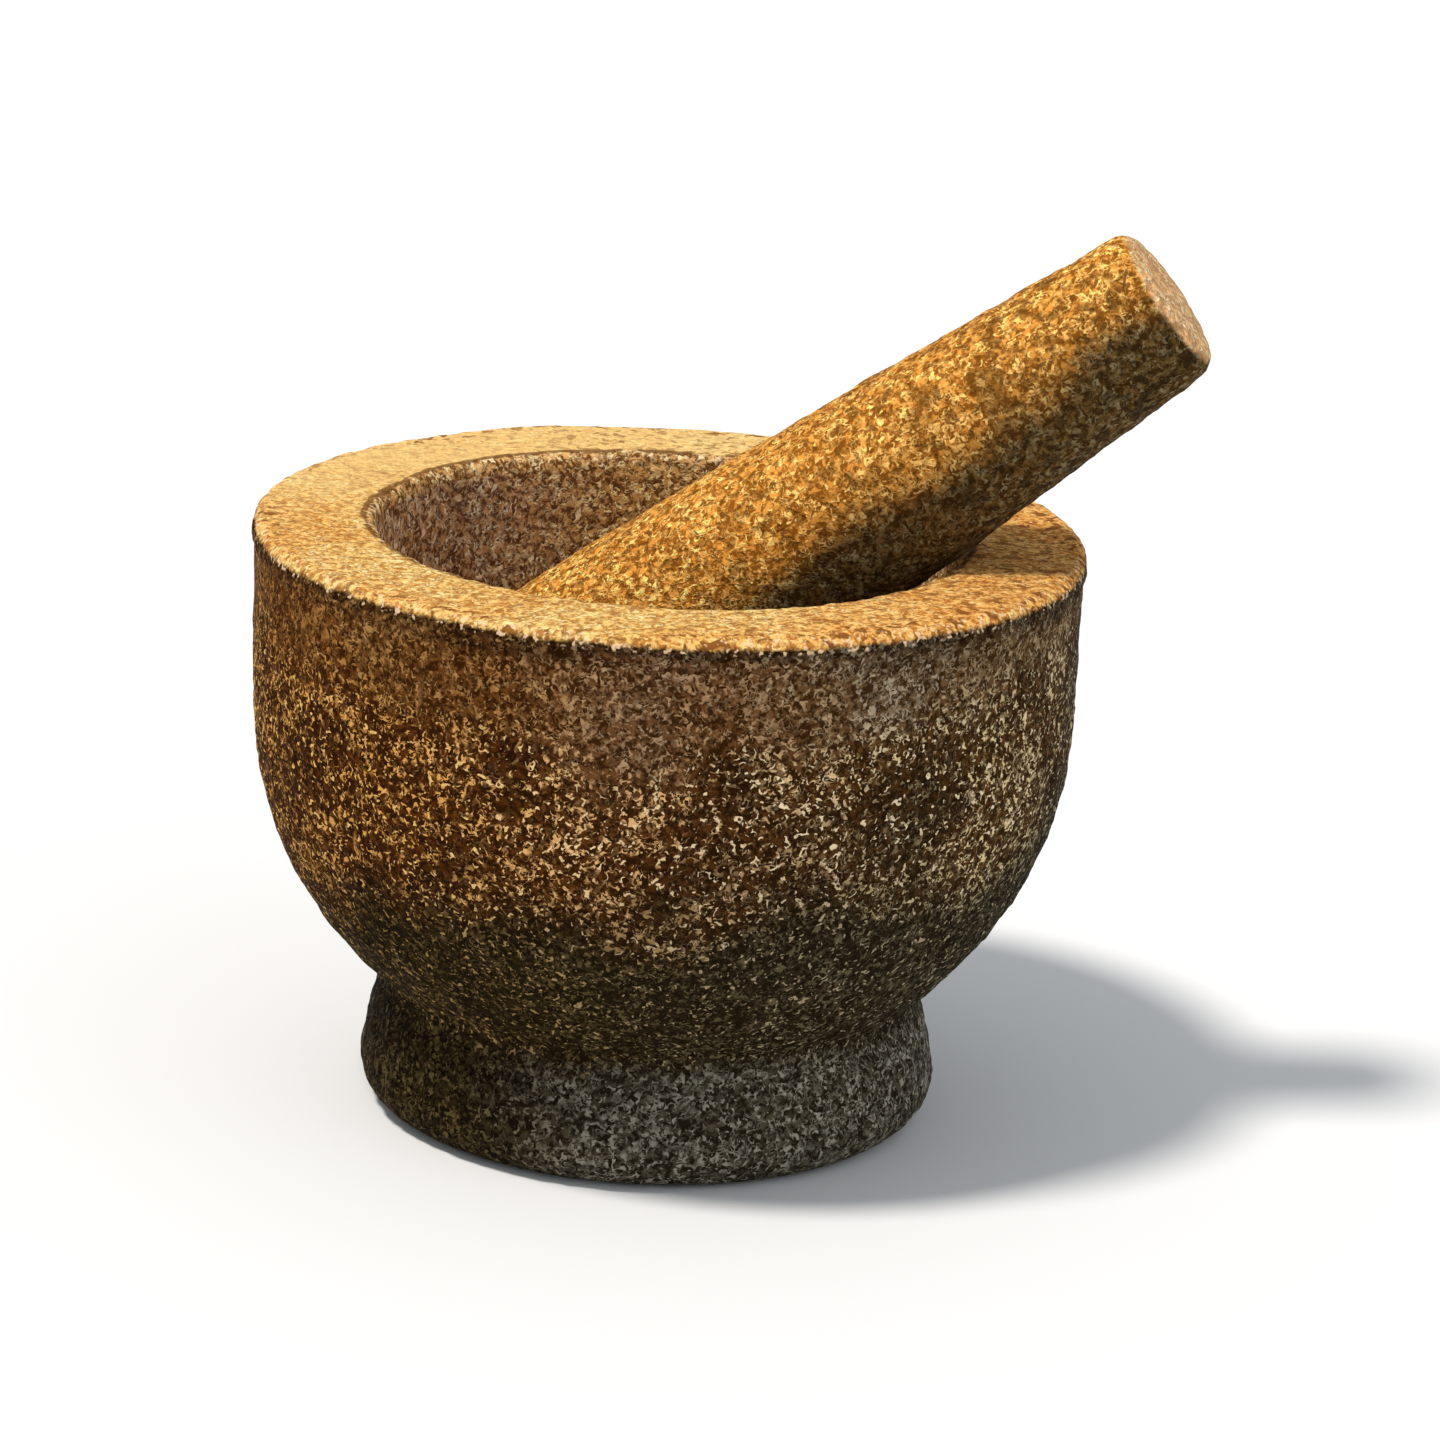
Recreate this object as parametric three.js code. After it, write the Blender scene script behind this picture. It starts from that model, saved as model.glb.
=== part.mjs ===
// A granite molcajete: a footed mortar turned from one block of stone, and the loose
// pestle that leans in it. Millimetres, +Z up, origin at the centre of the foot's base,
// +X towards the side that the pestle's handle leans over.

import { Group, LatheGeometry, Mesh, MeshStandardMaterial, Path, Quaternion, Vector3 } from 'three';

// ---- driving dimensions ----

const BOWL_RADIUS = 77.5; // over the rim, a six inch class mortar
const BOWL_HEIGHT = 112;
const CAVITY_DEPTH = 72;
const PESTLE_LENGTH = 167.5;
const PESTLE_TILT = 38.1; // degrees between the pestle's axis and the table
const PESTLE_YAW = -5; // degrees, the handle's heading about the bowl's axis
const HANDLE_END = new Vector3( 89.5, - 14.3, 163.8 ); // centre of the handle's end face

// ---- stations that follow from them ----

const foot = {
	radius: 54.4, // at the top of the base rounding
	rounding: 8,
	shoulder: 22, // height where the side starts to pull in to the neck
};
const neck = { radius: 50.3, height: 25 };
const belly = {
	radius: BOWL_RADIUS - 0.7,
	start: 28.5, // height where the cove above the neck ends
	top: 87, // height where the belly becomes the upright wall
};
const rim = {
	rounding: 2.4, // outer edge
	lip: 0.5, // how far the dressed edge stands proud of the wall
	lipHeight: 5,
};
const cavity = {
	wallRadius: 54.3,
	floorRadius: 52.4, // where the wall turns into the rounded floor
	mouthRounding: 2.5,
	floorHeight: BOWL_HEIGHT - CAVITY_DEPTH,
	roundHeight: 48, // how far up from the floor the round part reaches
};
const pestle = {
	handleRadius: 15.2,
	handleRounding: 4.5,
	endDome: 0.8,
	headRadius: 22.2,
	headLength: 21.5, // of the rounded grinding end
	swell: 20.4, // radius that the tapered side is drawn towards, half way along
};

// ---- fineness of the turned surfaces ----

const MORTAR_SEGMENTS = 64;
const MORTAR_STEP = 5.5; // longest step along the outline
const PESTLE_SEGMENTS = 40;
const PESTLE_STEP = 7;

const quarterTurn = Math.PI / 2;

// Points along an outline: straight runs keep their two ends, and round runs are divided
// into at least four steps, no longer than the one given.
function outlinePoints( outline, step ) {

	const points = [ outline.curves[ 0 ].getPoint( 0 ) ];
	for ( const run of outline.curves ) {

		const divisions = run.isLineCurve ? 1 : Math.max( 4, Math.ceil( run.getLength() / step ) );
		for ( let i = 1; i <= divisions; i ++ ) points.push( run.getPointAt( i / divisions ) );

	}

	return points;

}

// A solid turned about +Z from an outline of radius and height that starts and ends on the axis.
function turned( outline, step, segments ) {

	const points = outlinePoints( outline, step );
	points[ 0 ].x = 0;
	points[ points.length - 1 ].x = 0;
	return new LatheGeometry( points, segments ).rotateX( quarterTurn );

}

// ---- the mortar: foot, neck, belly, flat rim and the cavity, cut from one block ----

function mortarOutline() {

	const outline = new Path().moveTo( 0, 0 );

	// flat base, with its edge rounded off
	const baseRadius = foot.radius - foot.rounding;
	outline.lineTo( baseRadius, 0 );
	outline.absarc( baseRadius, foot.rounding, foot.rounding, - quarterTurn, 0, false );

	// side of the foot, then the cove of the neck
	outline.bezierCurveTo(
		foot.radius - 0.6, 11,
		neck.radius + 3, 17,
		neck.radius + 0.9, foot.shoulder,
	);
	outline.bezierCurveTo(
		neck.radius + 0.2, foot.shoulder + 1.6,
		neck.radius - 0.6, neck.height + 0.8,
		neck.radius + 4, belly.start,
	);

	// belly, opening at 45 degrees and ending upright
	const opening = 16.3;
	outline.bezierCurveTo(
		neck.radius + 4 + opening, belly.start + opening,
		belly.radius, belly.top - 26.4,
		belly.radius, belly.top,
	);

	// upright wall, and the dressed edge that stands proud of it
	const lipStart = BOWL_HEIGHT - rim.lipHeight;
	outline.lineTo( BOWL_RADIUS - rim.lip, lipStart );
	outline.quadraticCurveTo( BOWL_RADIUS, lipStart + 0.6, BOWL_RADIUS, lipStart + 1.4 );
	outline.lineTo( BOWL_RADIUS, BOWL_HEIGHT - rim.rounding );
	outline.absarc( BOWL_RADIUS - rim.rounding, BOWL_HEIGHT - rim.rounding, rim.rounding, 0, quarterTurn, false );

	// flat rim, and the rounded edge of the mouth
	const mouth = cavity.wallRadius + cavity.mouthRounding;
	outline.lineTo( mouth, BOWL_HEIGHT );
	outline.absarc( mouth, BOWL_HEIGHT - cavity.mouthRounding, cavity.mouthRounding, quarterTurn, Math.PI, false );

	// cavity wall, drawing in a little, and the rounded floor
	const roundTop = cavity.floorHeight + cavity.roundHeight;
	outline.lineTo( cavity.floorRadius, roundTop );
	outline.absellipse( 0, roundTop, cavity.floorRadius, cavity.roundHeight, 0, - quarterTurn, true );

	return outline;

}

// ---- the pestle: a tapered stone handle that swells into a rounded head ----

// Height runs from the handle's end, at 0, to the tip of the head.
function pestleOutline() {

	const outline = new Path().moveTo( 0, 0 );
	const faceRadius = pestle.handleRadius - pestle.handleRounding;
	const roundingEnd = pestle.endDome + pestle.handleRounding;
	outline.quadraticCurveTo( faceRadius / 2, 0, faceRadius, pestle.endDome );
	outline.absarc( faceRadius, roundingEnd, pestle.handleRounding, - quarterTurn, 0, false );

	const headStart = PESTLE_LENGTH - pestle.headLength;
	outline.quadraticCurveTo( pestle.swell, ( roundingEnd + headStart ) / 2, pestle.headRadius, headStart );
	outline.absellipse( 0, headStart, pestle.headRadius, pestle.headLength, 0, quarterTurn, false );

	return outline;

}

// ---- materials ----

const mortarStone = new MeshStandardMaterial( { color: 0x6a5238, roughness: 0.92, metalness: 0 } );
const pestleStone = new MeshStandardMaterial( { color: 0xa67c46, roughness: 0.88, metalness: 0 } );

// ---- assembly ----

const mortar = new Mesh( turned( mortarOutline(), MORTAR_STEP, MORTAR_SEGMENTS ), mortarStone );
mortar.name = 'mortar';

const tejolote = new Mesh( turned( pestleOutline(), PESTLE_STEP, PESTLE_SEGMENTS ), pestleStone );
tejolote.name = 'pestle';

// The pestle lies on the mouth's edge with its head against the cavity wall, and its axis
// runs down from the end of the handle.
const tilt = PESTLE_TILT * Math.PI / 180;
const yaw = PESTLE_YAW * Math.PI / 180;
const downTheAxis = new Vector3(
	- Math.cos( tilt ) * Math.cos( yaw ),
	- Math.cos( tilt ) * Math.sin( yaw ),
	- Math.sin( tilt ),
);
tejolote.position.copy( HANDLE_END );
tejolote.quaternion.copy( new Quaternion().setFromUnitVectors( new Vector3( 0, 0, 1 ), downTheAxis ) );

const molcajete = new Group();
molcajete.add( mortar, tejolote );

export default molcajete;
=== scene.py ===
from math import cos, pi, radians, sin

import bpy
from mathutils import Matrix, Vector


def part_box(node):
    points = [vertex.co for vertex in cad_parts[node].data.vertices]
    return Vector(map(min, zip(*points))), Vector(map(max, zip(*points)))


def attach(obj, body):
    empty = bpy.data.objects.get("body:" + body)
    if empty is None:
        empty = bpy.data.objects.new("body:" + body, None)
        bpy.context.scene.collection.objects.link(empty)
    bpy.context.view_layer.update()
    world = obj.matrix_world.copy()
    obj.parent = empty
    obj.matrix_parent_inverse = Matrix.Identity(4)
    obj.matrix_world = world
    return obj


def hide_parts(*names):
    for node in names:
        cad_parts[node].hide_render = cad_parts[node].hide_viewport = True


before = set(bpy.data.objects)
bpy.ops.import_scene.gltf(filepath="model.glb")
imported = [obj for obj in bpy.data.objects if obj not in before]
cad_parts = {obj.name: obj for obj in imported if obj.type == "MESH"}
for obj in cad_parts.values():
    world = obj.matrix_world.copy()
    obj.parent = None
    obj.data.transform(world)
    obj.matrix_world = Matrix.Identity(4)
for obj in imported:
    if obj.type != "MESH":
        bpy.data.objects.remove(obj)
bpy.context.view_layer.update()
MM = 0.001


# ---- Camera and table ----
# The molcajete stands on a plain pale table. The camera looks across its rim from in front
# and a little above, and is rolled a touch.

LOOK_AT = Vector((10.9 * MM, 0, 74.8 * MM))
CAMERA_PITCH = radians(16.82)
CAMERA_ROLL = radians(2.975)
CAMERA_DISTANCE = 1066.3 * MM
CAMERA_LENS = 142.6
CLOSEST_SEEN = 50 * MM
TABLE_WIDTH = 40000 * MM
TABLE_COLOUR = (0.92, 0.925, 0.95, 1)
TABLE_ROUGHNESS = 0.8

towards_camera = Vector((0, -cos(CAMERA_PITCH), sin(CAMERA_PITCH)))
bpy.ops.object.camera_add(location=LOOK_AT + towards_camera * CAMERA_DISTANCE)
camera = bpy.context.object
camera.rotation_mode = "QUATERNION"
level_view = (-towards_camera).to_track_quat("-Z", "Y")
camera.rotation_quaternion = level_view @ Matrix.Rotation(CAMERA_ROLL, 4, "Z").to_quaternion()
camera.data.lens = CAMERA_LENS
camera.data.clip_start = CLOSEST_SEEN
bpy.context.scene.camera = camera

bpy.ops.object.select_all(action="DESELECT")
bpy.ops.mesh.primitive_plane_add(size=TABLE_WIDTH, location=(0, 0, 0))
table = bpy.context.object
table.name = "table"
table_paint = bpy.data.materials.new("pale paint")
table_paint.use_nodes = True
table_coat = table_paint.node_tree.nodes["Principled BSDF"]
table_coat.inputs["Base Color"].default_value = TABLE_COLOUR
table_coat.inputs["Roughness"].default_value = TABLE_ROUGHNESS
table.data.materials.append(table_paint)


# ---- Mortar ----
# One block of granite, turned to a footed bowl with a thick flat rim. A point chisel pecked
# the belly and foot rough, a band below the rim is dressed finer, and the rim is rubbed flat.
# The grinding hollow is turned out of the same block and its mouth's edge is broken.

bowl_low, bowl_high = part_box("mortar")
BOWL_RADIUS = (bowl_high.x - bowl_low.x) / 2
BOWL_HEIGHT = bowl_high.z
FOOT_RADIUS = 54.4 * MM
FOOT_ROUNDING = 8 * MM
FOOT_SHOULDER = 22 * MM
NECK_RADIUS = 50.3 * MM
NECK_HEIGHT = 25 * MM
BELLY_START = 28.5 * MM
BELLY_OPENING = 16.3 * MM
BELLY_TOP = 87 * MM
WALL_SET_BACK = 0.7 * MM
LIP = 0.5 * MM
LIP_HEIGHT = 5 * MM
LIP_SLOPE = 1.4 * MM
RIM_ROUNDING = 2.4 * MM
MOUTH_ROUNDING = 2.5 * MM
HOLLOW_RADIUS = 54.3 * MM
HOLLOW_FLOOR_RADIUS = 52.4 * MM
HOLLOW_FLOOR = 40 * MM
HOLLOW_ROUND = 48 * MM

FINE_STEP = 1.05 * MM
EDGE_STEP = 0.6 * MM
FLOOR_STEP = 2 * MM
BASE_STEP = 12 * MM
TURNS = 400
CURVE_PARTS = 200
WELD = 0.02 * MM


def straight(start, end, step):
    """Points from start to end, start left out."""
    start, end = Vector(start), Vector(end)
    count = max(1, round((end - start).length / step))
    return [start.lerp(end, i / count) for i in range(1, count + 1)]


def arc(centre, radii, first, last, step):
    """Points on an ellipse from one angle to another, the first left out."""
    count = max(3, round(abs(last - first) * max(radii) / step))
    angles = [first + (last - first) * i / count for i in range(1, count + 1)]
    return [Vector((centre[0] + radii[0] * cos(a), centre[1] + radii[1] * sin(a))) for a in angles]


def curve_point(controls, share):
    """The point at this share of a Bezier curve of any degree."""
    row = [Vector(point) for point in controls]
    while len(row) > 1:
        row = [a.lerp(b, share) for a, b in zip(row, row[1:])]
    return row[0]


def sweep(controls, step):
    """Evenly spaced points on a Bezier curve, the first left out."""
    fine = [curve_point(controls, i / CURVE_PARTS) for i in range(CURVE_PARTS + 1)]
    travelled = [0.0]
    for a, b in zip(fine, fine[1:]):
        travelled.append(travelled[-1] + (b - a).length)
    count = max(2, round(travelled[-1] / step))
    points = []
    near = 0
    for i in range(1, count + 1):
        target = travelled[-1] * i / count
        while near < CURVE_PARTS - 1 and travelled[near + 1] < target:
            near += 1
        share = (target - travelled[near]) / (travelled[near + 1] - travelled[near])
        points.append(fine[near].lerp(fine[near + 1], share))
    return points


def turned(name, outline, turns):
    """A stone turned about Z from (radius, height) points that start and end on its axis."""
    bpy.ops.object.select_all(action="DESELECT")
    bpy.ops.mesh.primitive_plane_add(size=MM, location=(0, 0, 0))
    blank = bpy.context.object
    blank.name = name
    blank.data.name = name
    bpy.ops.object.mode_set(mode="EDIT")
    bpy.ops.mesh.merge(type="CENTER")
    for here, there in zip(outline, outline[1:]):
        move = {"value": (there.x - here.x, 0, there.y - here.y)}
        bpy.ops.mesh.extrude_region_move(TRANSFORM_OT_translate=move)
    bpy.ops.mesh.select_all(action="SELECT")
    bpy.ops.mesh.spin(steps=turns, angle=2 * pi, center=(0, 0, 0), axis=(0, 0, 1))
    bpy.ops.mesh.select_all(action="SELECT")
    bpy.ops.mesh.remove_doubles(threshold=WELD)
    bpy.ops.mesh.normals_make_consistent(inside=False)
    bpy.ops.object.mode_set(mode="OBJECT")
    bpy.ops.object.shade_smooth()
    return blank


base_edge = (FOOT_RADIUS - FOOT_ROUNDING, 0)
foot_side = (FOOT_RADIUS, FOOT_ROUNDING)
foot_taper = (FOOT_RADIUS - 0.6 * MM, 11 * MM)
foot_slope = (NECK_RADIUS + 3 * MM, 17 * MM)
cove = (NECK_RADIUS + 0.9 * MM, FOOT_SHOULDER)
cove_pull = (NECK_RADIUS + 0.2 * MM, FOOT_SHOULDER + 1.6 * MM)
neck_pull = (NECK_RADIUS - 0.6 * MM, NECK_HEIGHT + 0.8 * MM)
flare = (NECK_RADIUS + 4 * MM, BELLY_START)
belly_pull = (flare[0] + BELLY_OPENING, flare[1] + BELLY_OPENING)
wall = (BOWL_RADIUS - WALL_SET_BACK, BELLY_TOP)
wall_pull = (wall[0], BELLY_TOP - 26.4 * MM)
lip_foot = (BOWL_RADIUS - LIP, BOWL_HEIGHT - LIP_HEIGHT)
lip_pull = (BOWL_RADIUS, lip_foot[1] + 0.6 * MM)
lip_face = (BOWL_RADIUS, lip_foot[1] + LIP_SLOPE)
rim_corner = (BOWL_RADIUS - RIM_ROUNDING, BOWL_HEIGHT - RIM_ROUNDING)
mouth_corner = (HOLLOW_RADIUS + MOUTH_ROUNDING, BOWL_HEIGHT - MOUTH_ROUNDING)
hollow_turn = (HOLLOW_FLOOR_RADIUS, HOLLOW_FLOOR + HOLLOW_ROUND)

bowl_outline = [Vector((0, 0))]
bowl_outline += straight((0, 0), base_edge, BASE_STEP)
bowl_outline += arc((base_edge[0], FOOT_ROUNDING), (FOOT_ROUNDING,) * 2, -pi / 2, 0, FINE_STEP)
bowl_outline += sweep([foot_side, foot_taper, foot_slope, cove], FINE_STEP)
bowl_outline += sweep([cove, cove_pull, neck_pull, flare], FINE_STEP)
bowl_outline += sweep([flare, belly_pull, wall_pull, wall], FINE_STEP)
bowl_outline += straight(wall, lip_foot, FINE_STEP)
bowl_outline += sweep([lip_foot, lip_pull, lip_face], EDGE_STEP)
bowl_outline += straight(lip_face, (BOWL_RADIUS, rim_corner[1]), FINE_STEP)
bowl_outline += arc(rim_corner, (RIM_ROUNDING,) * 2, 0, pi / 2, EDGE_STEP)
bowl_outline += straight((rim_corner[0], BOWL_HEIGHT), (mouth_corner[0], BOWL_HEIGHT), FINE_STEP)
bowl_outline += arc(mouth_corner, (MOUTH_ROUNDING,) * 2, pi / 2, pi, EDGE_STEP)
bowl_outline += straight((HOLLOW_RADIUS, mouth_corner[1]), hollow_turn, FINE_STEP)
bowl_outline += arc((0, hollow_turn[1]), (HOLLOW_FLOOR_RADIUS, HOLLOW_ROUND), 0, -pi / 2, FLOOR_STEP)
mortar = turned("mortar_stone", bowl_outline, TURNS)

FLOOR_EDGE = BOWL_RADIUS - 31 * MM
STEADY_RIM = 62 * MM
WANDERING_RIM = 70 * MM
PECKED_TO = 88 * MM
PECKS_END = 104 * MM
RUBBED_FLAT = 0.7
LEAST_WEIGHT = 0.01


def ease(low, high, value):
    """0 at low and 1 at high, with a smooth run between."""
    share = min(1, max(0, (value - low) / (high - low)))
    return share * share * (3 - 2 * share)


def beyond_floor(radius):
    """All but the hollow's round floor and the middle of the base."""
    return ease(FLOOR_EDGE, FLOOR_EDGE + MM, radius)


def turned_skin(radius, height):
    """All beyond the floor, fading to nothing at the base and at the mouth's edge."""
    steady = ease(BOWL_HEIGHT - 3 * MM, BOWL_HEIGHT - MM, height) * ease(WANDERING_RIM, STEADY_RIM, radius)
    return beyond_floor(radius) * ease(0, 6 * MM, height) * (1 - steady)


def pecked_skin(radius, height):
    """The belly, the foot and the hollow's wall, fading out up the dressed band."""
    return beyond_floor(radius) * ease(0.5 * MM, 5 * MM, height) * (1 - ease(PECKED_TO, PECKS_END, height))


def whole_skin(radius, height):
    """All but the base, and less on the rubbed rim."""
    on_the_rim = ease(BOWL_HEIGHT - 4 * MM, BOWL_HEIGHT, height)
    return ease(0.5 * MM, 3 * MM, height) * (1 - RUBBED_FLAT * on_the_rim)


def edges(radius, height):
    """The rim's outer edge and the mouth's edge."""
    outer = ease(BOWL_RADIUS - 3 * MM, BOWL_RADIUS - MM, radius)
    inner = ease(mouth_corner[0] + 1.5 * MM, mouth_corner[0] - MM, radius)
    return max(outer, inner) * ease(BOWL_HEIGHT - 5 * MM, BOWL_HEIGHT - 2 * MM, height)


def tool_marks(stone, name, kind, size, depth, where=None, level=0.8, **pattern_settings):
    """Cuts a pattern of this size and depth into a stone. What is above the level stands proud."""
    pattern = bpy.data.textures.new(name, kind)
    pattern.noise_scale = size
    for key, value in pattern_settings.items():
        setattr(pattern, key, value)
    cut = stone.modifiers.new(name, "DISPLACE")
    cut.texture = pattern
    cut.texture_coords = "LOCAL"
    cut.mid_level = level
    cut.strength = depth
    if where:
        group = stone.vertex_groups.new(name=name)
        for vertex in stone.data.vertices:
            weight = where(vertex.co.xy.length, vertex.co.z)
            if weight > LEAST_WEIGHT:
                group.add([vertex.index], weight, "REPLACE")
        cut.vertex_group = name
    bpy.context.view_layer.objects.active = stone
    bpy.ops.object.modifier_apply(modifier=name)


tool_marks(
    mortar, "hand turned", "CLOUDS", size=45 * MM, depth=1.2 * MM, where=turned_skin, level=0.45,
    noise_depth=1,
)
tool_marks(mortar, "pecked", "VORONOI", size=4.5 * MM, depth=0.6 * MM, where=pecked_skin, level=0.6)
tool_marks(
    mortar, "gritty", "CLOUDS", size=2.6 * MM, depth=0.5 * MM, where=whole_skin, level=0.6, noise_depth=2,
)
tool_marks(mortar, "nibbled", "VORONOI", size=3.2 * MM, depth=0.6 * MM, where=edges)

DRY_STONE_GLOSS = 0.03
FINE_RELIEF = 0.85


class Wire:
    """A socket in a finish. Arithmetic on it adds Math nodes."""

    def __init__(self, finish, socket):
        self.finish = finish
        self.socket = socket

    def __add__(self, other):
        return self.finish.math("ADD", self, other)

    def __sub__(self, other):
        return self.finish.math("SUBTRACT", self, other)

    def __rsub__(self, other):
        return self.finish.math("SUBTRACT", other, self)

    def __mul__(self, other):
        return self.finish.math("MULTIPLY", self, other)

    def __pow__(self, other):
        return self.finish.math("POWER", self, other)

    def __abs__(self):
        return self.finish.math("ABSOLUTE", self)

    __radd__ = __add__
    __rmul__ = __mul__


class Finish:
    """The look of a material or of the room, wired from Blender's nodes."""

    OBJECT_PLACE = 3
    MIX_FIRST, MIX_SECOND, MIXED = 6, 7, 2

    def __init__(self, owner):
        owner.use_nodes = True
        owner.node_tree.nodes.clear()
        self.owner = owner
        self.tree = owner.node_tree

    def node(self, kind, settings, inputs):
        """A new node, with its settings made first and then its sockets set or wired."""
        made = self.tree.nodes.new("ShaderNode" + kind)
        for key, value in settings.items():
            setattr(made, key, value)
        for key, value in inputs.items():
            if isinstance(value, Wire):
                self.tree.links.new(value.socket, made.inputs[key])
            else:
                made.inputs[key].default_value = value
        return [Wire(self, socket) for socket in made.outputs]

    def math(self, operation, *values):
        """A Math node on one or two values."""
        return self.node("Math", {"operation": operation}, dict(enumerate(values)))[0]

    def larger(self, first, second):
        """The larger of two values."""
        return self.math("MAXIMUM", first, second)

    def rise(self, low, high, value):
        """0 at low and 1 at high, with a smooth run between."""
        inputs = {"Value": value, "From Min": low, "From Max": high}
        return self.node("MapRange", {"interpolation_type": "SMOOTHSTEP"}, inputs)[0]

    def mix(self, share, first, second):
        """One colour going over to another as share goes from 0 to 1."""
        inputs = {0: share}
        for slot, colour in ((self.MIX_FIRST, first), (self.MIX_SECOND, second)):
            inputs[slot] = colour if isinstance(colour, Wire) else (*colour, 1)
        return self.node("Mix", {"data_type": "RGBA"}, inputs)[self.MIXED]

    def capped(self, colour):
        """A colour kept no paler than white."""
        return self.node("VectorMath", {"operation": "MINIMUM"}, {0: colour, 1: (1, 1, 1)})[0]

    def shade(self, colour, amount):
        """A colour made darker or paler."""
        scaled = self.node("VectorMath", {"operation": "SCALE"}, {0: colour, "Scale": amount})[0]
        return self.capped(scaled)

    def dye(self, colour, pigment):
        """A colour seen through a pigment."""
        dyed = self.node("VectorMath", {"operation": "MULTIPLY"}, {0: colour, 1: pigment})[0]
        return self.capped(dyed)

    def noise(self, place, size, shift, detail=1.0, roughness=0.5, distortion=0.0):
        """A cloudy pattern around 0.5, in patches of this size. The shift sets it apart from others."""
        away = (shift, shift * 0.7, shift * 1.3)
        moved = self.node("Mapping", {}, {"Vector": place, "Location": away})[0]
        inputs = {
            "Vector": moved, "Scale": 0.5 / size, "Detail": detail, "Roughness": roughness,
            "Distortion": distortion,
        }
        return self.node("TexNoise", {}, inputs)[0]

    def dress(self, stone, colour, roughness, relief, depth):
        """Gives the stone this colour, roughness and fine relief, as dull, dry stone."""
        bump = self.node("Bump", {}, {"Strength": FINE_RELIEF, "Distance": depth, "Height": relief})[0]
        skin = self.node("BsdfPrincipled", {}, {
            "Base Color": colour, "Roughness": roughness, "Specular IOR Level": DRY_STONE_GLOSS,
            "Normal": bump,
        })[0]
        self.node("OutputMaterial", {}, {"Surface": skin})
        stone.data.materials.clear()
        stone.data.materials.append(self.owner)


class Granite:
    """The pattern of the stone: ground grain, pale crystals, rare bright crystals with painted glints and
    dark pits.
    """

    def __init__(self, finish, place):
        noise = finish.noise
        # Crystals and sparks lie closer together where the crowd is above 0.
        crowd = noise(place, size=6 * MM, shift=0.7, detail=3, roughness=0.6) - 0.5
        grain = noise(place, size=0.7 * MM, shift=0.1, detail=3, roughness=0.65, distortion=0.5)
        crystal = noise(place, size=0.55 * MM, shift=0.3, distortion=0.9) + crowd * 0.15
        # Slivers are thin curved crystals, broken off here and there.
        sliver = 1 - abs(noise(place, size=0.9 * MM, shift=2.7, distortion=1.2) * 2 - 1) * 6
        broken = finish.rise(0.47, 0.57, noise(place, size=1.4 * MM, shift=3.3) + crowd * 0.3)
        paleness = finish.rise(0.36, 0.60, noise(place, size=1.1 * MM, shift=0.5))
        spark = noise(place, size=0.5 * MM, shift=0.9, detail=0, distortion=0.9) + crowd * 0.16
        pit = noise(place, size=1.3 * MM, shift=1.7, detail=2, roughness=0.6, distortion=0.4)
        slivers = finish.rise(0.2, 0.9, sliver) * broken * 0.85
        either = finish.larger(finish.rise(0.53, 0.63, crystal), slivers)
        self.finish = finish
        self.grain = finish.rise(0.42, 0.62, grain)
        self.crystals = either * (0.3 + paleness * 0.7)
        self.sparks_and_glints = finish.rise(0.68, 0.76, spark)
        self.pits = finish.rise(0.52, 0.63, pit)

    def coloured(self, tones, share):
        """A dark, a middle and a pale tone laid out by the grain and this share of the crystals."""
        dark, middle, pale = tones
        return self.finish.mix(self.crystals * share, self.finish.mix(self.grain, dark, middle), pale)


# Each set of tones is dark, middle and pale. The single colours dye or stand in for them.
RIM_TONES = (0.47, 0.205, 0.045), (0.95, 0.61, 0.195), (1.0, 0.82, 0.38)
RIM_PITS = (0.27, 0.10, 0.022)
RIM_BLUSH = (1.0, 0.87, 0.74)
BAND_TONES = (0.034, 0.011, 0.002), (0.13, 0.056, 0.019), (0.42, 0.25, 0.13)
BAND_GREY = (0.88, 1.0, 1.25)
BELLY_TONES = (0.023, 0.008, 0.0015), (0.080, 0.028, 0.006), (0.66, 0.42, 0.21)
LOW_SHADE_TONES = (0.010, 0.0065, 0.002), (0.021, 0.014, 0.005), (0.105, 0.085, 0.046)
FOOT_TONES = (0.013, 0.009, 0.004), (0.064, 0.052, 0.032), (0.29, 0.265, 0.21)
HOLLOW_TONES = (0.14, 0.052, 0.018), (0.58, 0.305, 0.11), (1.0, 0.78, 0.44)
HOLLOW_SHADE_TINT = (0.96, 1.0, 1.25)
HOLLOW_LIGHT_TINT = (1.05, 1.0, 0.82)
BEVEL_TONES = (0.17, 0.065, 0.016), (0.80, 0.44, 0.16), (1.0, 0.80, 0.44)
MOUTH_EDGE_SHADE = (0.15, 0.055, 0.012)
BRUISE = (0.98, 0.68, 0.42)
BRIGHT_CRYSTAL_AND_GLINT = (0.85, 0.68, 0.44)
OCHRE = (0.97, 0.74, 0.34)
COOL_LIGHT_TINT = (1.08, 1.30, 1.40)
RIM_SHADE_TINT = (1.0, 0.83, 0.70)
RIM_LIGHT_COLOUR = (0.99, 0.71, 0.30)

BAND_FROM = 84 * MM
BAND_WHOLE = 96 * MM
LOW_FROM = 70 * MM
LOW_WHOLE = 48 * MM
FOOT_FROM = 26 * MM
FOOT_WHOLE = 20 * MM

bowl_finish = Finish(bpy.data.materials.new("mortar granite"))
rise = bowl_finish.rise
place = bowl_finish.node("TexCoord", {}, {})[Finish.OBJECT_PLACE]
x, y, z = bowl_finish.node("SeparateXYZ", {}, {0: place})
radius = (x * x + y * y) ** 0.5
granite = Granite(bowl_finish, place)

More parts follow.
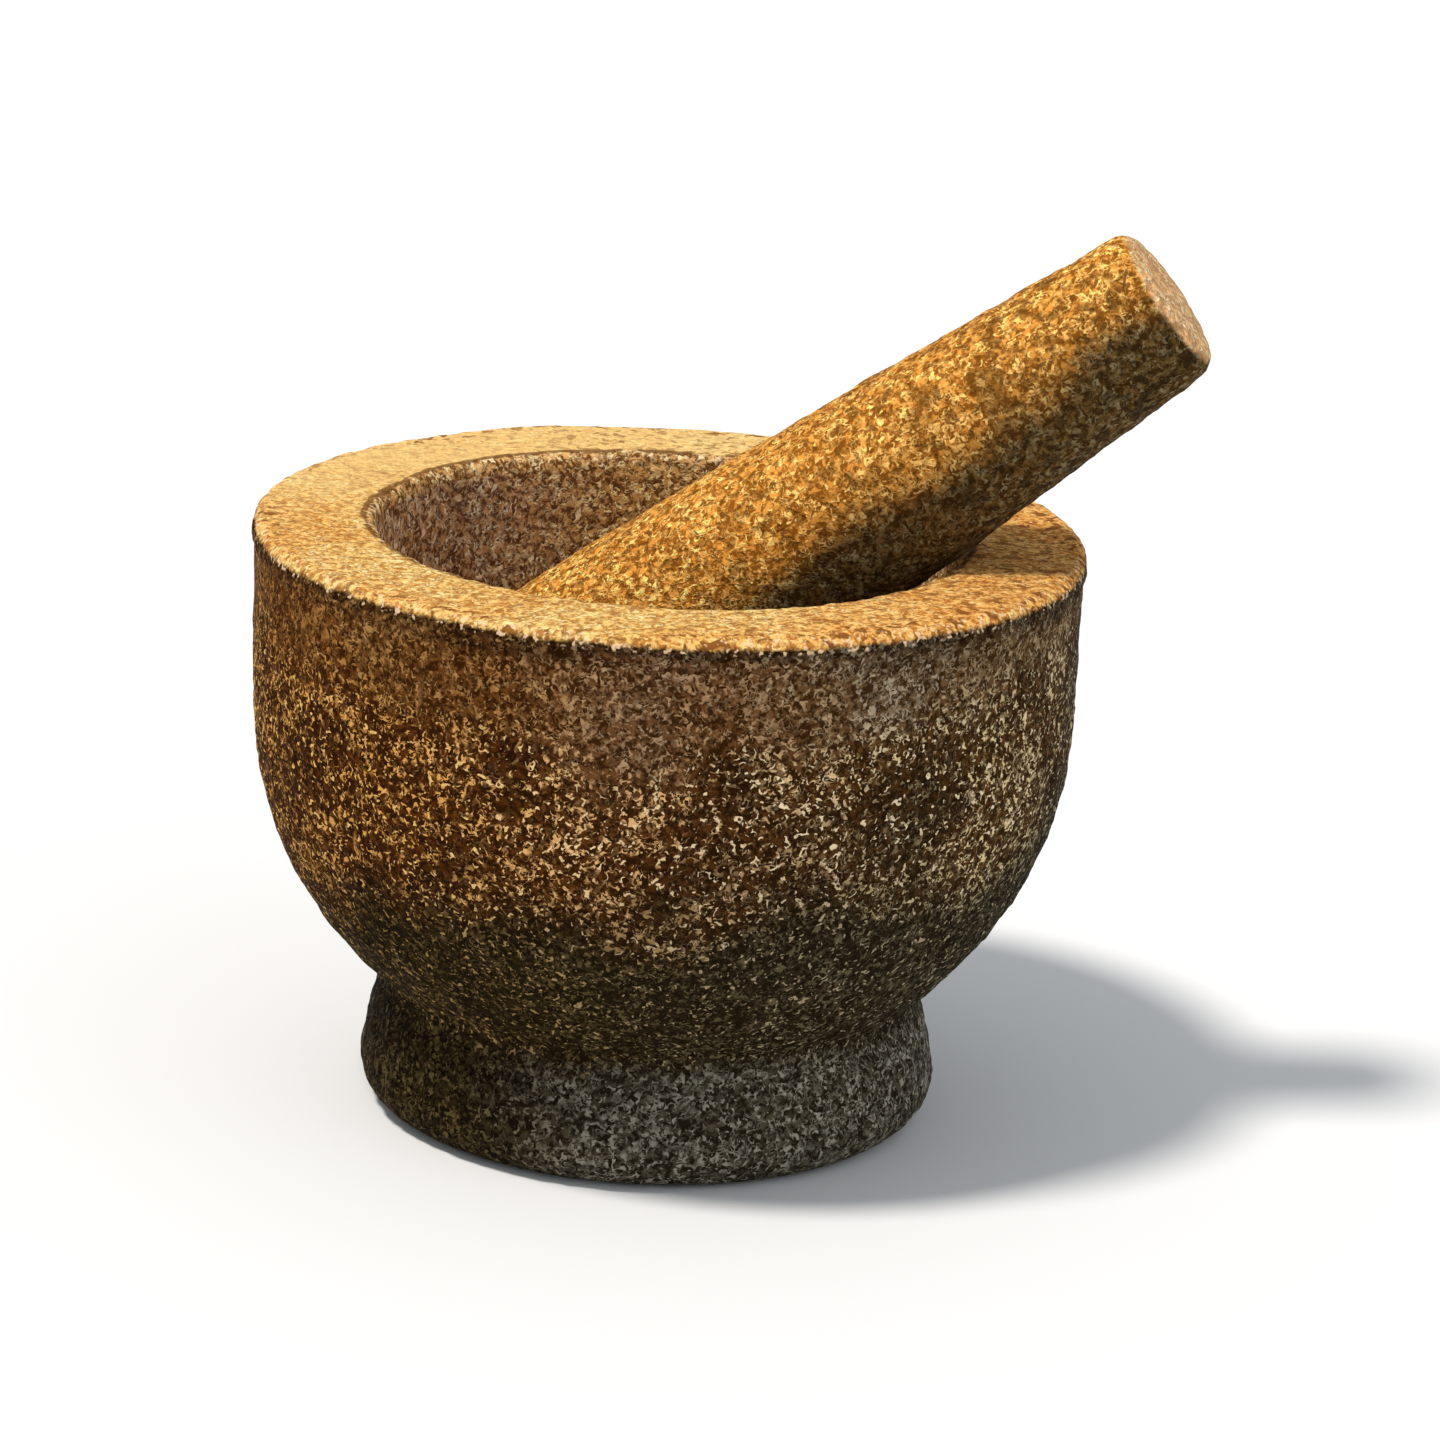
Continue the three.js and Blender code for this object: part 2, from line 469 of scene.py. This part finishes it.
# Patterns around 0, in three sizes, that make the borders between zones wander.
drift = bowl_finish.noise(place, size=12 * MM, shift=2.3, detail=2) - 0.5
patches = bowl_finish.noise(place, size=26 * MM, shift=3.1, detail=2) - 0.5
ragged = bowl_finish.noise(place, size=1.8 * MM, shift=6.1, detail=2) - 0.5

# Where each zone lies, from the mouth down to the foot. A zone is 0 outside.
mouth = mouth_corner[0]
in_mouth = rise(mouth - 0.2 * MM, mouth - 0.9 * MM, radius + drift * (2.5 * MM))
in_hollow = in_mouth * rise(HOLLOW_FLOOR - MM, HOLLOW_FLOOR - 0.5 * MM, z)
on_bevel = in_mouth * rise(BOWL_HEIGHT - 3.3 * MM, BOWL_HEIGHT - 2.7 * MM, z + ragged * (4 * MM))
rim_edge = z + ragged * (1.2 * MM) + (granite.grain - 0.5) * (0.15 * MM)
on_rim = rise(BOWL_HEIGHT - 2 * MM, BOWL_HEIGHT - MM, rim_edge)
line_radius = radius + drift * (2.5 * MM) + ragged * (1.6 * MM)
# Painted shade: a thin dark line where the rim rounds over into the hollow.
mouth_edge_shade = rise(0.75 * MM, 0.35 * MM, abs(line_radius - (mouth - 0.3 * MM))) * on_rim
mouth_edge_shade = mouth_edge_shade * rise(-0.08, 0.06, ragged + patches)
under_lip = rise(BOWL_HEIGHT - 7.5 * MM, BOWL_HEIGHT - 4 * MM, z + drift * (6 * MM))
under_lip = under_lip * rise(0.15, -0.10, patches) * 0.6
lip_line = rise(BOWL_HEIGHT - 4 * MM, BOWL_HEIGHT - 3 * MM, z + ragged * (2.5 * MM)) * 0.6
lip_shade = bowl_finish.larger(under_lip, lip_line) * (1 - in_mouth)
in_band = rise(BAND_FROM, BAND_WHOLE, z - abs(x) * 0.12 + drift * (30 * MM) + patches * (24 * MM))
low_belly_shade = rise(LOW_FROM, LOW_WHOLE, z - x * 0.12 + drift * (22 * MM) + patches * (20 * MM))
on_foot = rise(FOOT_FROM, FOOT_WHOLE, z + drift * (6 * MM))

# The pecked belly, where the crystals are crowded in some patches and thin in others.
crowded = rise(-0.17, 0.09, drift + patches * 0.5)
bowl_skin = granite.coloured(BELLY_TONES, granite.crystals * (0.38 + crowded * 0.9))
bowl_skin = bowl_finish.shade(bowl_skin, 0.72 + crowded * 0.4)

# The dressed band, then what lies over belly and band: painted cool light at the right side,
# the low belly darkened with painted shade, the shade under the lip, the bright crystals with
# their painted glints and painted warm light at the left side.
band_skin = granite.coloured(BAND_TONES, 0.8)
greyer = rise(0.48, 0.62, bowl_finish.noise(place, size=15 * MM, shift=8.3, detail=2))
grey_skin = bowl_finish.shade(bowl_finish.dye(band_skin, BAND_GREY), 1.25)
band_skin = bowl_finish.mix(greyer, band_skin, grey_skin)
bowl_skin = bowl_finish.mix(in_band, bowl_skin, band_skin)
# Painted cool light: belly and band dyed greyer and bluer towards the right.
painted_cool_light = rise(0, 55 * MM, x + patches * (50 * MM))
bowl_skin = bowl_finish.mix(painted_cool_light, bowl_skin, bowl_finish.dye(bowl_skin, COOL_LIGHT_TINT))
# Painted shade: the belly is made darker low down, where it turns to face the table.
bowl_skin = bowl_finish.mix(low_belly_shade, bowl_skin, granite.coloured(LOW_SHADE_TONES, 1))
bowl_skin = bowl_finish.shade(bowl_skin, 1 - lip_shade)
# Painted glints: rare bright crystals laid on as pale colour, partly the stone's own pale crystals.
sparks_and_glints = granite.sparks_and_glints * (1 - in_band * 0.8) * (1 - low_belly_shade * 0.6)
bowl_skin = bowl_finish.mix(sparks_and_glints, bowl_skin, BRIGHT_CRYSTAL_AND_GLINT)
# Painted warm light: belly and band dyed ochre towards the left.
painted_warm_light = rise(45 * MM, -65 * MM, x + patches * (60 * MM))
bowl_skin = bowl_finish.mix(painted_warm_light, bowl_skin, bowl_finish.dye(bowl_skin, OCHRE))

# The foot, paler to the right with painted light and darker at the left with a painted
# shadow. Then the grinding hollow, cooler at its left with painted shade, and the broken
# edge of its mouth.
# Painted light: the foot made paler towards the right.
foot_skin = bowl_finish.shade(granite.coloured(FOOT_TONES, 0.9), 1 + rise(-10 * MM, 50 * MM, x) * 0.45)
# Painted shadow: the front left of the foot made darker and browner.
painted_foot_shadow = rise(-5 * MM, -32 * MM, x + drift * (14 * MM)) * rise(20 * MM, -20 * MM, y)
shadowed_foot_skin = bowl_finish.shade(bowl_finish.dye(foot_skin, OCHRE), 0.38)
foot_skin = bowl_finish.mix(painted_foot_shadow, foot_skin, shadowed_foot_skin)
bowl_skin = bowl_finish.mix(on_foot, bowl_skin, foot_skin)
hollow_skin = granite.coloured(HOLLOW_TONES, 0.85)
# Painted shade and light: the hollow's left wall tinted cool as in shade, its right warm as if lit.
shaded_hollow_skin = bowl_finish.dye(hollow_skin, HOLLOW_SHADE_TINT)
lit_hollow_skin = bowl_finish.dye(hollow_skin, HOLLOW_LIGHT_TINT)
hollow_skin = bowl_finish.mix(rise(-45 * MM, -5 * MM, x + drift * (20 * MM)), shaded_hollow_skin, lit_hollow_skin)
bowl_skin = bowl_finish.mix(in_hollow, bowl_skin, hollow_skin)
bowl_skin = bowl_finish.mix(on_bevel, bowl_skin, granite.coloured(BEVEL_TONES, 1))

# The rubbed rim, pitted most along its worn outer edge, redder and darker to the right with
# painted shade and paler at the back with painted light, with a painted shade line at the
# mouth and the pale bruises on the corner.
rim_skin = granite.coloured(RIM_TONES, 1)
blush = rise(0, 0.14, patches + drift * 0.5)
rim_skin = bowl_finish.mix(blush, rim_skin, bowl_finish.dye(rim_skin, RIM_BLUSH))
# Painted shade: the rim made redder and darker towards the right, where the pestle's shadow falls.
painted_rim_shade = rise(5 * MM, 60 * MM, x + patches * (40 * MM))
rim_skin = bowl_finish.mix(painted_rim_shade, rim_skin, bowl_finish.dye(rim_skin, RIM_SHADE_TINT))
# Painted light: the rim made paler and yellower towards the back.
painted_rim_light = rise(0, 60 * MM, y - x * 0.2 + patches * (30 * MM))
rim_skin = bowl_finish.mix(painted_rim_light * 0.5, rim_skin, RIM_LIGHT_COLOUR)
worn_edge = rise(BOWL_RADIUS - 7 * MM, BOWL_RADIUS - 2 * MM, radius + drift * (6 * MM))
pitted = granite.pits * (0.55 + drift * 1.2 + x * 4 + worn_edge * 0.5)
rim_skin = bowl_finish.mix(pitted, rim_skin, RIM_PITS)
bowl_skin = bowl_finish.mix(on_rim * (1 - in_mouth), bowl_skin, rim_skin)
# Painted shade laid along the mouth's edge.
bowl_skin = bowl_finish.mix(mouth_edge_shade * 0.8, bowl_skin, MOUTH_EDGE_SHADE)
outer_edge = rise(BOWL_HEIGHT - 2.8 * MM, BOWL_HEIGHT - 2.2 * MM, z)
outer_edge = outer_edge * rise(BOWL_RADIUS - 2.6 * MM, BOWL_RADIUS - 1.6 * MM, radius)
bruises = rise(0.58, 0.66, bowl_finish.noise(place, size=0.6 * MM, shift=7.7)) * outer_edge
bowl_skin = bowl_finish.mix(bruises * 0.7, bowl_skin, BRUISE)

bowl_relief = granite.grain * 0.5 + granite.crystals * 0.6 - granite.pits * 0.6
bowl_relief = bowl_relief * (1 - in_band * 0.4)
bowl_finish.dress(mortar, bowl_skin, 0.86 - granite.crystals * 0.2, bowl_relief, 0.35 * MM)
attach(mortar, "mortar")
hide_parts("mortar")


# ---- Pestle ----
# A second piece of the same granite, turned to a tapered handle that swells into a round
# grinding head. It is loose: it leans on the mouth's edge with its head down in the hollow.
# Its handle's end is sawn off square, and shows the stone's paler, pinker inside.

PESTLE_LENGTH = 167.5 * MM
PESTLE_TILT = radians(38.1)
PESTLE_YAW = radians(-5)
HANDLE_END = Vector((89.5, -14.3, 163.8)) * MM
HANDLE_RADIUS = 15.2 * MM
HANDLE_ROUNDING = 4.5 * MM
END_DOME = 0.8 * MM
HEAD_RADIUS = 22.2 * MM
HEAD_LENGTH = 21.5 * MM
SWELL = 20.4 * MM
GRIP_END = 60 * MM
HEAD_SIDE = 120 * MM
PESTLE_STEP = 0.7 * MM
PESTLE_TURNS = 180

face_edge = (HANDLE_RADIUS - HANDLE_ROUNDING, END_DOME)
handle_start = END_DOME + HANDLE_ROUNDING
head_start = PESTLE_LENGTH - HEAD_LENGTH
pestle_outline = [Vector((0, 0))]
pestle_outline += sweep([(0, 0), (face_edge[0] / 2, 0), face_edge], PESTLE_STEP)
pestle_outline += arc((face_edge[0], handle_start), (HANDLE_ROUNDING,) * 2, -pi / 2, 0, PESTLE_STEP)
pestle_outline += sweep([
    (HANDLE_RADIUS, handle_start), (SWELL, (handle_start + head_start) / 2), (HEAD_RADIUS, head_start),
], PESTLE_STEP)
pestle_outline += arc((0, head_start), (HEAD_RADIUS, HEAD_LENGTH), 0, pi / 2, PESTLE_STEP)
pestle = turned("pestle_stone", pestle_outline, PESTLE_TURNS)


def gripped(radius, height):
    """The handle, fading out towards the head."""
    return ease(HEAD_SIDE, GRIP_END, height)


tool_marks(pestle, "dressed", "CLOUDS", size=16 * MM, depth=0.7 * MM, noise_depth=1)
tool_marks(pestle, "chiselled", "VORONOI", size=5 * MM, depth=0.5 * MM, where=gripped)
tool_marks(pestle, "sharp grit", "CLOUDS", size=2.4 * MM, depth=0.5 * MM, noise_depth=2)

down_the_axis = Vector((
    -cos(PESTLE_TILT) * cos(PESTLE_YAW),
    -cos(PESTLE_TILT) * sin(PESTLE_YAW),
    -sin(PESTLE_TILT),
))
pestle.rotation_mode = "QUATERNION"
pestle.rotation_quaternion = Vector((0, 0, 1)).rotation_difference(down_the_axis)
pestle.location = HANDLE_END
bpy.ops.object.select_all(action="DESELECT")
pestle.select_set(True)
bpy.context.view_layer.objects.active = pestle
bpy.ops.object.transform_apply(location=True, rotation=True, scale=True)

HANDLE_TONES = (0.19, 0.064, 0.0065), (0.595, 0.246, 0.041), (0.96, 0.56, 0.16)
END_TONES = (0.50, 0.27, 0.12), (0.92, 0.51, 0.23), (1.0, 0.82, 0.50)
CHIP_COLOUR = (0.10, 0.040, 0.006)
UNDERSIDE_SHADE_TINT = (0.22, 0.29, 0.50)
TOWARDS_FRONT = Vector((0, -1, 0.1))

pestle_finish = Finish(bpy.data.materials.new("pestle granite"))
rise = pestle_finish.rise
place = pestle_finish.node("TexCoord", {}, {})[Finish.OBJECT_PLACE]
granite = Granite(pestle_finish, place)
from_end = pestle_finish.node("VectorMath", {"operation": "SUBTRACT"}, {0: place, 1: HANDLE_END})[0]


def distance_along(direction):
    """How far a point lies from the handle's end in this direction."""
    return pestle_finish.node("VectorMath", {"operation": "DOT_PRODUCT"}, {0: from_end, 1: direction})[1]


beneath_axis = TOWARDS_FRONT.cross(down_the_axis).normalized()
reach = distance_along(down_the_axis)
drop = distance_along(beneath_axis)
wander = pestle_finish.noise(place, size=9 * MM, shift=4.1, detail=2) - 0.5
at_the_end = rise(2.9 * MM, 1.9 * MM, reach + wander * (2 * MM))
# Painted shade: the pestle's underside, facing down and away from the key, is darkened.
underside_shade = rise(-4 * MM, 4.5 * MM, drop + wander * (10 * MM) + rise(35 * MM, 0, reach) * (4 * MM))
chips = pestle_finish.noise(place, size=4.2 * MM, shift=5.3, detail=3, roughness=0.6, distortion=0.6)
chips = rise(0.54, 0.64, chips) * (1 - rise(15 * MM, 75 * MM, reach) * 0.8)

pestle_skin = granite.coloured(HANDLE_TONES, 1)
pestle_skin = pestle_finish.mix(granite.pits * 0.6, pestle_skin, CHIP_COLOUR)
pestle_skin = pestle_finish.mix(chips * 0.8, pestle_skin, CHIP_COLOUR)
towards_head = rise(GRIP_END, HEAD_SIDE, reach)
# Painted light: the upper side of the handle, facing the key, made paler.
painted_top_light = rise(-2 * MM, -14 * MM, drop + wander * (6 * MM)) * (1 - towards_head)
pestle_skin = pestle_finish.shade(pestle_skin, 1 + towards_head * 0.55 + painted_top_light * 0.5)
pestle_skin = pestle_finish.mix(underside_shade, pestle_skin, pestle_finish.dye(pestle_skin, UNDERSIDE_SHADE_TINT))
pestle_skin = pestle_finish.mix(at_the_end, pestle_skin, granite.coloured(END_TONES, 1))

pestle_relief = granite.grain * 0.5 + granite.crystals * 0.6 - granite.pits * 0.8 - chips
pestle_finish.dress(pestle, pestle_skin, 0.85 - granite.crystals * 0.2, pestle_relief, 0.4 * MM)
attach(pestle, "pestle")
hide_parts("pestle")


# ---- Light ----
# A soft warm key from high up at the left, a little in front, lays the pestle's shadow
# across the rim. A cooler, weak one fills from the right. The room is pale all round, and
# looks as bright as the table beyond its edge.


def sun(name, towards, strength, softness, colour):
    """A far lamp that shines from this side."""
    bpy.ops.object.light_add(type="SUN", location=Vector(towards))
    lamp = bpy.context.object
    lamp.name = name
    lamp.rotation_mode = "QUATERNION"
    lamp.rotation_quaternion = (-Vector(towards)).to_track_quat("-Z", "Y")
    lamp.data.energy = strength
    lamp.data.angle = softness
    lamp.data.color = colour


sun("key", towards=(-0.38, -0.27, 1.0), strength=2.45, softness=radians(9), colour=(1.0, 0.95, 0.87))
sun("fill", towards=(0.8, -0.9, 0.6), strength=0.35, softness=radians(60), colour=(0.85, 0.94, 1.0))

ROOM_LIGHT = 0.46
ROOM_COLOUR = (0.95, 0.985, 1.0, 1)
room = Finish(bpy.data.worlds.new("room"))
in_view = room.node("LightPath", {}, {})[0]
air = room.node("Background", {}, {
    "Color": ROOM_COLOUR, "Strength": ROOM_LIGHT + in_view * (1 - ROOM_LIGHT),
})[0]
room.node("OutputWorld", {}, {"Surface": air})
bpy.context.scene.world = room.owner
bpy.context.scene.view_settings.view_transform = "Standard"
